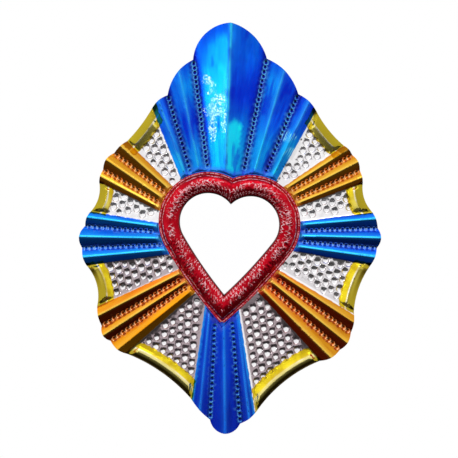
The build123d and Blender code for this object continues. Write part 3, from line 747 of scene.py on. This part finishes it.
# Stitched rows (place, pitch, half width, height) and hammered bumps
BUMP = 0.16
lift = np.zeros((k, m))
for at, pitch, wide, tall in ((2.1, 2.1, 0.55, 0.10), (5.6, 3.1, 0.7, 0.08), (9.3, 2.3, 0.6, 0.08)):
    phase = stretch / pitch + 0.37 * at
    dash = np.clip(1.25 * np.sin(2 * math.pi * phase) + 0.25, 0, 1)
    lift += tall * dash * np.exp(-((gs - at) / wide) ** 2)
bumps = rng.normal(0, 1, (k, m))
for _ in range(2):
    around_it = [np.roll(bumps, step, axis) for step, axis in ((1, 1), (-1, 1), (1, 0), (-1, 0))]
    bumps = sum(around_it, bumps) / 5
on_arch = ((gs > 0.7) & (gs < span - 0.5)) * np.sin(np.clip(gs / span, 0, 1) * math.pi) ** 0.5
loops[:, :, 2] += (lift + bumps * BUMP) * on_arch
ring_faces = []
for i in range(k - 1):
    for j in range(m):
        j2 = (j + 1) % m
        ring_faces.append((i * m + j, i * m + j2, (i + 1) * m + j2, (i + 1) * m + j))
ring_verts = loops.reshape(-1, 3)
TAB_N, TAB_HALF, TAB_LONG = 7, 3.0, 3.0
tab_verts, tab_faces = [], []
for lobe, angle in ((True, 75.0), (True, 5.0), (False, 0.25), (False, 0.7)):
    centre_xy, radius = ((LOBE_U, 0.0), LOBE_R) if lobe else ((SIDE_U, SIDE_V), SIDE_R)
    low = -math.acos(-SIDE_U / SIDE_R)
    mid = math.radians(angle) if lobe else low + (-SHOULDER - low) * angle
    t = mid + np.linspace(-TAB_HALF, TAB_HALF, TAB_N) / radius
    for sign in (1, -1):
        first = len(ring_verts) + len(tab_verts)
        for g, w in ((0.0, -TIN), (TAB_LONG, -TIN), (TAB_LONG, 0.0), (0.0, 0.0)):
            x = sign * (centre_xy[0] + (radius + g) * np.cos(t))
            y = centre_xy[1] + (radius + g) * np.sin(t)
            tab_verts += [(*p, w) for p in heart_place(x, y)]
        for j in range(TAB_N - 1):
            for i in range(4):
                here, there = first + i * TAB_N + j, first + (i + 1) % 4 * TAB_N + j
                tab_faces.append([here, there, there + 1, here + 1])
        for j in (0, TAB_N - 1):
            tab_faces.append([first + i * TAB_N + j for i in range(4)])
all_verts = row(np.concatenate([ring_verts, tab_verts]))
ring = mesh_object("heart_band", all_verts, ring_faces + tab_faces, "ornament", sharp=60)
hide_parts("heart_frame")
tabs = np.zeros(len(tab_verts))
attribute(ring.data, "rho", "FLOAT", np.concatenate([np.repeat(gs, m), tabs]))
attribute(ring.data, "run", "FLOAT", np.concatenate([np.tile(stretch[12], k), tabs]))
shown = np.repeat(np.arange(k) < k - 3, m)
attribute(ring.data, "face", "FLOAT", np.concatenate([shown, tabs]))


def solder_object(name, node):
    """Rounded solder beads over each pad of a CAD node."""
    rings, spokes, pad_reach, bead_rise = 7, 22, 0.0095, 0.00085
    verts, faces = [], []
    seen = np.array([tuple(v.co) for v in nodes[node].data.vertices])
    while len(seen):
        near = norm(seen - seen[0], axis=1) < pad_reach
        pad, seen = seen[near], seen[~near]
        mid = pad.mean(0)
        flat_pad = (pad - mid)[:, [0, 2]]
        _, _, vt = np.linalg.svd(flat_pad, full_matrices=False)
        long_way, wide_way = vt[0], vt[1]
        half_long = np.abs(flat_pad @ long_way).max()
        half_wide = np.abs(flat_pad @ wide_way).max() * 1.5
        base = len(verts)
        front_y = pad[:, 1].min()
        for i in range(rings):
            a = i / (rings - 1) * math.pi / 2
            for j in range(spokes):
                b = j / spokes * 2 * math.pi
                wob = 1 + 0.10 * math.sin(3 * b + base) + 0.06 * math.sin(5 * b + 2 * base)
                out = math.cos(a) * wob
                p = long_way * half_long * math.cos(b) * out + wide_way * half_wide * math.sin(b) * out
                verts.append((mid[0] + p[0], front_y + bead_rise * math.sin(a), mid[2] + p[1]))
        for i in range(rings - 1):
            low, high = base + i * spokes, base + (i + 1) * spokes
            for j in range(spokes):
                j2 = (j + 1) % spokes
                faces.append((low + j, high + j, high + j2, low + j2))
    obj = mesh_object(name, verts, faces, "ornament")
    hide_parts(node)
    return obj


tray_beads = solder_object("tray_solder_beads", "tray_solder")
strap_beads = solder_object("strap_solder_beads", "strap_solder")


# Materials
class Tree:
    """Node tree, with short names for the nodes that recur."""

    def __init__(self, tree):
        self.tree = tree
        tree.nodes.clear()

    def node(self, kind, **inputs):
        """New node: p_ sets a property, i and a number or a name sets or links an input."""
        made = self.tree.nodes.new(kind)
        for name, value in inputs.items():
            if name.startswith("p_"):
                setattr(made, name[2:], value)
        for name, value in inputs.items():
            if name.startswith("p_"):
                continue
            by_number = name[0] == "i" and name[1:].isdigit()
            socket = made.inputs[int(name[1:]) if by_number else name.replace("_", " ")]
            if isinstance(value, bpy.types.NodeSocket):
                self.tree.links.new(value, socket)
            else:
                socket.default_value = value
        return made

    def place(self, output="Object"):
        return self.node("ShaderNodeTexCoord").outputs[output]

    def math(self, op, a, b=0.0, c=0.0):
        return self.node("ShaderNodeMath", p_operation=op, i0=a, i1=b, i2=c).outputs[0]

    def times(self, a, b):
        return self.math("MULTIPLY", a, b)

    def times_plus(self, a, b, c):
        return self.math("MULTIPLY_ADD", a, b, c)

    def minus(self, a, b):
        return self.math("SUBTRACT", a, b)

    def rest(self, a):
        return self.math("SUBTRACT", 1.0, a)

    def off(self, a, b):
        """Distance of a from b."""
        return self.math("ABSOLUTE", self.minus(a, b))

    def smooth(self, value, low, high):
        return self.node(
            "ShaderNodeMapRange", p_interpolation_type="SMOOTHSTEP", i0=value, i1=low, i2=high, i3=0.0, i4=1.0
        ).outputs[0]

    def span(self, value, low, high, to_low, to_high):
        return self.node("ShaderNodeMapRange", i0=value, i1=low, i2=high, i3=to_low, i4=to_high).outputs[0]

    def noise(self, where, scale, detail=2.0, rough=0.5):
        made = self.node("ShaderNodeTexNoise", Vector=where, Scale=scale, Detail=detail, Roughness=rough)
        return made.outputs["Fac"]

    def mix(self, fac, a, b, how="MIX"):
        kind = dict(p_data_type="RGBA", p_blend_type=how, p_clamp_result=True)
        return self.node("ShaderNodeMix", **kind, i0=fac, i6=a, i7=b).outputs[2]

    def threads(self, noise, high):
        """Thin lines where a noise crosses its middle."""
        return self.rest(self.smooth(self.off(noise, 0.5), 0.012, high))

    def tinted(self, a, b):
        return self.mix(1.0, a, b, "MULTIPLY")

    def ramp(self, value, stops):
        """Grey levels along a value from -1 to 1, the first stop at 0 and the last at 1."""
        made = self.node("ShaderNodeValToRGB", i0=self.span(value, -1, 1, 0, 1))
        for at, _ in stops[1:-1]:
            made.color_ramp.elements.new(at)
        for element, (_, v) in zip(made.color_ramp.elements, stops):
            element.color = (v, v, v, 1)
        return made.outputs[0]

    def attribute(self, name, output="Fac"):
        return self.node("ShaderNodeAttribute", p_attribute_name=name).outputs[output]

    def bump(self, height, strength, distance, normal=None):
        inputs = dict(Height=height, Strength=strength, Distance=distance)
        if normal is not None:
            inputs["Normal"] = normal
        return self.node("ShaderNodeBump", **inputs).outputs[0]


def material(name):
    """New material and its empty node tree."""
    mat = bpy.data.materials.new(name)
    mat.use_nodes = True
    return mat, Tree(mat.node_tree)


def finish(tree, **inputs):
    """Principled shader with these inputs, at the material's output."""
    shader = tree.node("ShaderNodeBsdfPrincipled", **inputs)
    tree.node("ShaderNodeOutputMaterial", Surface=shader.outputs[0])


def dress(mat, *objects):
    """Give objects this material alone."""
    for obj in objects:
        obj.data.materials.clear()
        obj.data.materials.append(mat)


WHITE = (1.0, 1.0, 1.0, 1.0)

mat, t = material("lacquered_tin")
where = t.place()
ragged = t.minus(t.noise(where, 420, 2), 0.5)
broad = t.noise(where, 38, 3, 0.6)
cloud = t.smooth(broad, 0.35, 0.7)
grain = t.attribute("grain", "Vector")
streak = t.noise(grain, 0.32, 3, 0.6)
face = t.attribute("face")
ray_mask = t.times(t.smooth(t.times_plus(ragged, 1.0, t.attribute("ray_in")), -0.25, 0.25), face)
band_mask = t.times(t.smooth(t.times_plus(ragged, 2.2, t.attribute("band_in")), -0.3, 0.3), face)
coat = t.math("MAXIMUM", ray_mask, band_mask)
band_at = t.attribute("band_at")
# Cream line along the crest: lacquer rubbed off, and painted highlight
rubbed_and_highlight = t.rest(t.smooth(t.times_plus(ragged, 0.7, t.off(band_at, 5.28)), 0.1, 0.8))
rubbed_and_highlight = t.times(rubbed_and_highlight, t.span(t.noise(where, 80, 2), 0.4, 0.62, 0.15, 0.9))
# Tin: cloudy, darker in the lower fields and round the marks' rims as painted shade, greyer behind
tin = t.mix(cloud, (0.86, 0.84, 0.86, 1), (0.95, 0.94, 0.95, 1))
bare = t.rest(coat)
lower_field_shade = t.times(t.attribute("lower_field_shade"), bare)
tin = t.mix(lower_field_shade, tin, t.tinted(tin, (0.45, 0.37, 0.39, 1)))
# Painted shade round the field marks' rims
tin = t.mix(t.times(t.attribute("mark_rim_shade"), bare), tin, (0.20, 0.165, 0.165, 1))
tin = t.mix(face, t.mix(cloud, (0.60, 0.60, 0.61, 1), (0.72, 0.72, 0.73, 1)), tin)
# Lacquer of the rays: streaked, mottled on the fan, with wrinkles that carry painted glints, and scratches
tint_in = t.attribute("tint", "Color")
deep = t.tinted(tint_in, t.mix(0.5, tint_in, WHITE))
tint_in = t.mix(t.smooth(streak, 0.42, 0.72), tint_in, deep)
mottle = t.mix(0.45, t.noise(grain, 0.2, 2, 0.5), t.noise(where, 62, 2, 0.5))
dark = t.tinted(tint_in, (0.6, 0.36, 0.84, 1))
clear = t.tinted(tint_in, (1.2, 1.4, 1.2, 1))
patchy = t.mix(t.smooth(mottle, 0.38, 0.48), dark, tint_in)
patchy = t.mix(t.smooth(mottle, 0.52, 0.62), patchy, clear)
tint_in = t.mix(t.attribute("fan"), tint_in, patchy)
# Pale worms on the wrinkled patches: painted glints
worm = t.threads(t.noise(where, 620, 2, 0.55), 0.04)
wrinkle_and_glint = t.times_plus(t.minus(t.noise(where, 210, 2), 0.5), 2.6, t.attribute("wrinkle_and_glint"))
worm = t.times(worm, t.smooth(wrinkle_and_glint, 0.62, 1.0))
line = t.times(t.threads(t.noise(grain, 0.7, 1, 0.5), 0.06), t.smooth(t.attribute("scratch"), 0.1, 0.5))
line = t.times(line, t.smooth(t.noise(where, 90, 1), 0.4, 0.5))
tint_in = t.mix(t.times(worm, 0.8), tint_in, (0.70, 0.88, 0.94, 1))
tint_in = t.mix(t.times(line, 0.8), tint_in, (0.30, 0.82, 1.0, 1))
colour = t.tinted(tin, t.mix(ray_mask, WHITE, tint_in))
# Yellow lacquer: olive on the borders' outer slope as painted shade, brighter where that faces down as painted
# light, painted shade at the lower rim
yellow = t.mix(t.smooth(t.noise(where, 95, 3, 0.6), 0.38, 0.62), (0.62, 0.44, 0.008, 1), (0.92, 0.73, 0.02, 1))
yellow = t.mix(t.smooth(band_at, 4.6, 5.6), (0.46, 0.36, 0.018, 1), yellow)
facing_down = t.smooth(t.attribute("under"), 0.55, 0.9)
yellow = t.mix(t.times(t.smooth(band_at, 2.0, 3.4), facing_down), yellow, (1.0, 0.86, 0.16, 1))
lower_rim = t.times(t.rest(t.smooth(band_at, 1.8, 3.4)), facing_down)
yellow = t.mix(lower_rim, yellow, t.tinted(yellow, (0.24, 0.19, 0.3, 1)))
# Painted shade along the border's inner edge
inner_edge = t.rest(t.smooth(t.times_plus(ragged, 1.6, t.attribute("band_in")), 0.2, 1.0))
yellow = t.mix(t.times(inner_edge, 0.6), yellow, (0.55, 0.30, 0.02, 1))
yellow = t.mix(rubbed_and_highlight, yellow, (1.0, 0.97, 0.80, 1))
# Painted highlight: a cream band near the crest of the lowest borders
cream = t.times(t.attribute("cream"), t.span(broad, 0.35, 0.6, 0.5, 0.95))
yellow = t.mix(cream, yellow, (1.0, 0.90, 0.36, 1))
colour = t.tinted(colour, t.mix(band_mask, WHITE, yellow))
normal = t.bump(t.noise(where, 130, 2, 0.45), 0.012, 0.0012)
normal = t.bump(t.noise(where, 900, 2), 0.004, 0.0003, normal)
skin = t.bump(t.noise(where, 330, 2, 0.6), 0.30, 0.0001)
finish(
    t,
    Base_Color=colour,
    Metallic=t.times_plus(t.times(t.attribute("root"), ray_mask), -0.55, 1.0),
    Roughness=t.times_plus(t.rest(face), 0.2, t.span(coat, 0, 1, 0.06, 0.17)),
    Normal=normal,
    Coat_Weight=t.times(coat, 0.07),
    Coat_Roughness=0.04,
    Coat_Normal=skin,
)
dress(mat, sheet)

mat, t = material("red_lacquered_tin")
where = t.place()
rho, run = t.attribute("rho"), t.attribute("run")
blot = t.noise(where, 90, 3, 0.6)
fine = t.noise(where, 700, 2, 0.6)
red = t.mix(t.smooth(blot, 0.35, 0.7), (0.37, 0.0008, 0.008, 1), (0.58, 0.005, 0.018, 1))
wander = t.minus(t.noise(where, 160, 2), 0.5)
# Stamped lines, paler as worn lacquer and painted highlight: strokes in all directions over the crown, ticks along
# the inside, a broken zigzag on the crown and a dashed line near the outside. Each row has its place, swing,
# pitch, half width and limits of its gaps.
strokes = t.threads(t.noise(where, 340, 1.2, 0.5), 0.046)
strokes = t.times(strokes, t.smooth(t.noise(where, 110, 2), 0.39, 0.50))
strokes = t.times(strokes, t.span(t.noise(where, 620, 1), 0.42, 0.52, 0.05, 0.62))
worn_and_glint = t.times(strokes, t.times(t.smooth(rho, 3.0, 4.2), t.smooth(rho, 9.2, 7.6)))
for at, swing, pitch, half, low, high in (
    (2.2, 0.80, 1.15, 0.28, 0.36, 0.44),
    (5.8, 1.45, 1.60, 0.34, 0.41, 0.48),
    (10.4, 0.10, 0.90, 0.18, 0.34, 0.46),
):
    turns = t.times_plus(wander, 5.0, t.times(run, 1 / pitch))
    zigzag = t.times(t.minus(t.math("PINGPONG", turns, 1.0), 0.5), 2 * swing)
    off = t.minus(t.minus(rho, at), zigzag)
    off = t.math("ABSOLUTE", t.times_plus(wander, 2.2, off))
    line = t.rest(t.smooth(off, half * 0.5, half * 1.8))
    line = t.times(line, t.smooth(t.noise(where, 62 + 9 * at, 2), low, high))
    worn_and_glint = t.math("MAXIMUM", worn_and_glint, t.times(line, t.span(fine, 0.40, 0.52, 0.12, 1.0)))
# Painted highlight along the outer flange's edge
edge = t.off(rho, 11.9)
edge = t.times(t.rest(t.smooth(edge, 0.15, 0.5)), t.smooth(fine, 0.4, 0.6))
worn_and_glint = t.math("MAXIMUM", worn_and_glint, t.times(edge, 0.6))
worn_and_glint = t.times(worn_and_glint, t.attribute("face"))
# Painted shadow along the frame's inner edge, next to the glass
gap = t.times(t.rest(t.smooth(rho, 0.45, 1.0)), 0.9)
colour = t.mix(gap, t.mix(worn_and_glint, red, (1.0, 0.60, 0.66, 1)), (0.03, 0.003, 0.003, 1))
normal = t.bump(worn_and_glint, 0.5, 0.0004, t.bump(fine, 0.3, 0.0008))
finish(
    t,
    Base_Color=colour,
    Metallic=1.0,
    Roughness=0.30,
    Normal=normal,
    Coat_Weight=0.05,
    Coat_Roughness=0.10,
    Coat_Normal=normal,
)
dress(mat, ring)

mat, t = material("silvered_glass")
finish(t, Base_Color=(0.97, 0.975, 0.98, 1), Metallic=1.0, Roughness=0.01)
dress(mat, nodes["mirror"])

mat, t = material("grey_card")
fibre = t.noise(t.place(), 600, 4, 0.7)
finish(t, Base_Color=t.mix(fibre, (0.36, 0.33, 0.29, 1), (0.48, 0.45, 0.40, 1)), Roughness=0.9)
dress(mat, nodes["backing_card"])

mat, t = material("bare_tin")
where = t.place()
stain = t.noise(where, 55, 4, 0.6)
finish(
    t,
    Base_Color=t.mix(t.smooth(stain, 0.35, 0.75), (0.80, 0.80, 0.81, 1), (0.58, 0.56, 0.53, 1)),
    Metallic=1.0,
    Roughness=t.span(stain, 0.3, 0.8, 0.2, 0.42),
    Normal=t.bump(t.noise(where, 140, 2), 0.15, 0.001),
)
dress(mat, nodes["back_tray"], nodes["hanger_strap"])

mat, t = material("soft_solder")
pitted = t.bump(t.noise(t.place(), 900, 2), 0.3, 0.0004)
finish(t, Base_Color=(0.62, 0.63, 0.65, 1), Metallic=1.0, Roughness=0.34, Normal=pitted)
dress(mat, tray_beads, strap_beads)

mat, t = material("tinned_wire")
grey = t.mix(t.noise(t.place(), 300, 3), (0.50, 0.49, 0.48, 1), (0.66, 0.65, 0.64, 1))
finish(t, Base_Color=grey, Metallic=1.0, Roughness=0.3)
dress(mat, nodes["hanger_ring"])

# Surroundings: a pale floor a metre below, which thins out at its edges, and a room that is white behind the
# object, light above and dim below, with a pale panel that the mirror shows
scene = bpy.context.scene
FLOOR_DROP, FLOOR_FRONT, FLOOR_REAR, FLOOR_SIDE = 1.0, -0.2, 1.5, 1.0
corners = [(x, y, -FLOOR_DROP) for y in (FLOOR_FRONT, FLOOR_REAR) for x in (-FLOOR_SIDE, FLOOR_SIDE)]
floor_mesh = bpy.data.meshes.new("floor")
floor_mesh.from_pydata(corners, [], [(0, 1, 3, 2)])
floor = bpy.data.objects.new("floor", floor_mesh)
scene.collection.objects.link(floor)
mat, t = material("pale_floor")
across_it, along_it, _ = t.node("ShaderNodeSeparateXYZ", i0=t.place("Generated")).outputs
side, end = [t.math("MINIMUM", c, t.rest(c)) for c in (across_it, along_it)]
fade = t.smooth(t.math("MINIMUM", side, end), 0.0, 0.45)
finish(t, Base_Color=(0.84, 0.84, 0.84, 1), Roughness=0.8, Alpha=fade)
dress(mat, floor)
world = bpy.data.worlds.new("room")
scene.world = world
world.use_nodes = True
t = Tree(world.node_tree)
way = t.place("Generated")
x, y, z = t.node("ShaderNodeSeparateXYZ", i0=way).outputs
lifted = t.times_plus(t.math("ABSOLUTE", x), 0.5, z)
LEVELS = (
    (0.0, 0.01), (0.03, 0.012), (0.06, 0.10), (0.09, 0.13), (0.14, 0.062), (0.34, 0.056), (0.44, 0.108),
    (0.472, 0.148), (0.486, 0.205), (0.494, 0.59), (0.53, 0.735), (0.80, 0.78), (1.0, 0.9),
)
SIDES = ((0.0, 0.95), (0.14, 1.0), (0.32, 1.0), (0.5, 0.95), (0.62, 0.85), (0.75, 0.85), (1.0, 0.9))
level = t.tinted(t.ramp(lifted, LEVELS), t.ramp(x, SIDES))
PANEL_WAY, PANEL_EDGE, PANEL_BODY = (0.0, -0.99997, -0.008), math.cos(0.043), math.cos(0.037)
panel = t.node("ShaderNodeVectorMath", p_operation="DOT_PRODUCT", i0=way, i1=PANEL_WAY).outputs["Value"]
above = t.minus(z, t.math("ABSOLUTE", x))
panel = t.times(t.smooth(panel, PANEL_EDGE, PANEL_BODY), t.smooth(above, -0.042, -0.038))
level = t.mix(panel, level, (0.72, 0.715, 0.715, 1))
rear = t.mix(t.smooth(z, -0.6, -0.12), (0.40, 0.39, 0.39, 1), (0.7, 0.7, 0.7, 1))
level = t.mix(t.smooth(y, 0.45, 0.75), level, rear)
shade = t.node("ShaderNodeBackground", Color=level, Strength=1 / 0.7)
t.node("ShaderNodeOutputWorld", Surface=shade.outputs[0])


def area(name, place, aim, size, power):
    """Rectangular lamp that faces the aim."""
    lamp = bpy.data.lights.new(name, "AREA")
    lamp.shape = "RECTANGLE"
    lamp.size, lamp.size_y = size
    lamp.energy = power
    obj = bpy.data.objects.new(name, lamp)
    scene.collection.objects.link(obj)
    obj.location = place
    obj.rotation_mode = "QUATERNION"
    obj.rotation_quaternion = (Vector(aim) - Vector(place)).to_track_quat("-Z", "Y")


# A small lamp at the left, as from a window, and a soft one above
aim = (0.0, 0.0, -0.06)
area("window", (-0.512, -1.33, 0.045), aim, (0.016, 0.055), 0.13)
area("ceiling", (0.15, -0.75, 1.05), aim, (0.9, 0.35), 2.0)

SENSOR, LENS, EYE = 36.0, 157.2, (-0.0006, -1.2036, -0.0594)
cam = bpy.data.cameras.new("camera")
cam.sensor_width = SENSOR
cam.lens = LENS
cam_obj = bpy.data.objects.new("camera", cam)
scene.collection.objects.link(cam_obj)
cam_obj.location = EYE
cam_obj.rotation_euler = (math.pi / 2, 0.0, 0.0)
scene.camera = cam_obj

scene.view_settings.view_transform = "Standard"
